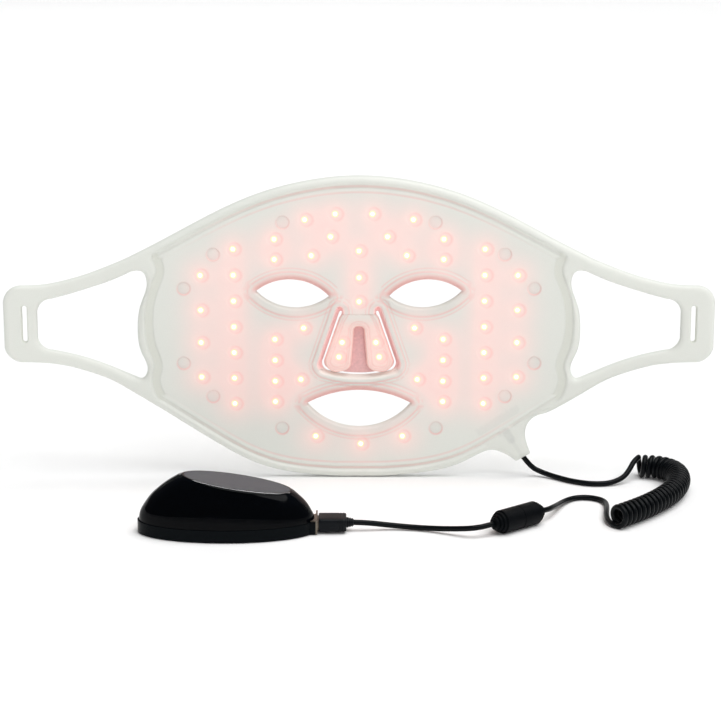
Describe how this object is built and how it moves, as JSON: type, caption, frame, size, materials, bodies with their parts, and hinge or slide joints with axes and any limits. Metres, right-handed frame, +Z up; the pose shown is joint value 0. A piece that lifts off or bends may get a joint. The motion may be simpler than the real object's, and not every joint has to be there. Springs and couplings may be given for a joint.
{
  "type": "led face mask",
  "caption": "Flexible two-layer silicone light-therapy face mask with ear wings, red diodes, a curly cord with a choke, and a small oval controller.",
  "frame": {"origin": "on the resting surface, in the middle of the mask and controller together", "axes": "+X to the right seen from the wearer's side, +Y from the wearer's side to the back of the mask, +Z up"},
  "size_m": [0.4258, 0.135, 0.185],
  "materials": {
    "silicone_back": "translucent silicone, satin",
    "silicone_front": "translucent silicone, satin",
    "silicone_wing": "translucent silicone, satin",
    "silicone_boot": "translucent silicone, satin",
    "silicone_peg": "translucent silicone, gloss",
    "flex_film": "white coverlay film",
    "led_lens": "clear lens over a lit red diode",
    "circuit_board": "solder mask",
    "chip_black": "moulded epoxy",
    "crimp_metal": "crimped",
    "cord_jacket": "matt elastomer jacket",
    "choke_plastic": "fine texture",
    "ferrite": "sintered",
    "plug_plastic": "satin moulding",
    "insulator": "moulded",
    "plated_shell": "nickel plated",
    "bezel_metal": "brushed nickel",
    "contact_metal": "gold flashed",
    "tray_plastic": "gloss black",
    "cover_gloss": "piano black",
    "button_satin": "satin graphite",
    "foot_rubber": "matt",
    "screw_steel": "zinc plated",
    "battery_wrap": "foil pouch",
    "foam": "closed-cell foam"
  },
  "bodies": {
    "mask": {"boot_lead": "cord_jacket", "cable_boot": "silicone_boot", "cable_crimp": "crimp_metal", "chin_leds": "led_lens", "cord_coil": "cord_jacket", "core_lead": "cord_jacket", "ferrite_core": "ferrite", "ferrite_cover": "choke_plastic", "flex_circuit": "flex_film", "forehead_leds": "led_lens", "inner_skin": "silicone_front", "junction_board": "circuit_board", "junction_resistors": "chip_black", "left_cheek_leds": "led_lens", "locating_pegs": "silicone_peg", "mask_lead": "cord_jacket", "middle_lead": "cord_jacket", "outer_shell": "silicone_back", "plug_contacts": "contact_metal", "plug_housing": "plug_plastic", "plug_lead": "cord_jacket", "plug_shell": "plated_shell", "plug_strain_relief": "plug_plastic", "plug_tongue": "insulator", "relief_lead": "cord_jacket", "right_cheek_leds": "led_lens"},
    "left_wing": {"left_wing": "silicone_wing"},
    "right_wing": {"right_wing": "silicone_wing"},
    "nose_flap": {"nose_flap_back": "silicone_back", "nose_flap_legs": "silicone_front", "nose_flex": "flex_film", "nose_leds": "led_lens"},
    "controller": {"base_tray": "tray_plastic", "gloss_cover": "cover_gloss", "rubber_feet": "foot_rubber", "case_screws": "screw_steel", "battery_cell": "battery_wrap", "foam_pad": "foam", "main_board": "circuit_board", "driver_chips": "chip_black", "buzzer": "chip_black", "tact_switch": "chip_black", "usb_socket": "plated_shell", "socket_tongue": "insulator", "socket_bezel": "bezel_metal"},
    "power_button": {"power_button": "button_satin"}
  },
  "joints": [
    {"name": "left_wing_fold", "type": "hinge", "parent": "mask", "child": "left_wing", "pos_m": [-0.138, 0.0635, 0.095], "axis": [0, 0, 1], "range_deg": [-20, 75], "stiffness_Nm_per_rad": 0.05},
    {"name": "right_wing_fold", "type": "hinge", "parent": "mask", "child": "right_wing", "pos_m": [0.138, 0.0635, 0.095], "axis": [0, 0, -1], "range_deg": [-20, 75], "stiffness_Nm_per_rad": 0.05},
    {"name": "nose_flap_fold", "type": "hinge", "parent": "mask", "child": "nose_flap", "pos_m": [0, 0.066, 0.101], "axis": [1, 0, 0], "range_deg": [-10, 40], "stiffness_Nm_per_rad": 0.02},
    {"name": "controller_unplug", "type": "slide", "parent": "mask", "child": "controller", "axis": [-1, 0, 0], "range_m": [0, 0.013]},
    {"name": "power_press", "type": "slide", "parent": "controller", "child": "power_button", "axis": [-0.1576, 0, -0.9875], "range_m": [0, 0.0008], "stiffness_N_per_m": 600, "springref_m": -0.001}
  ]
}
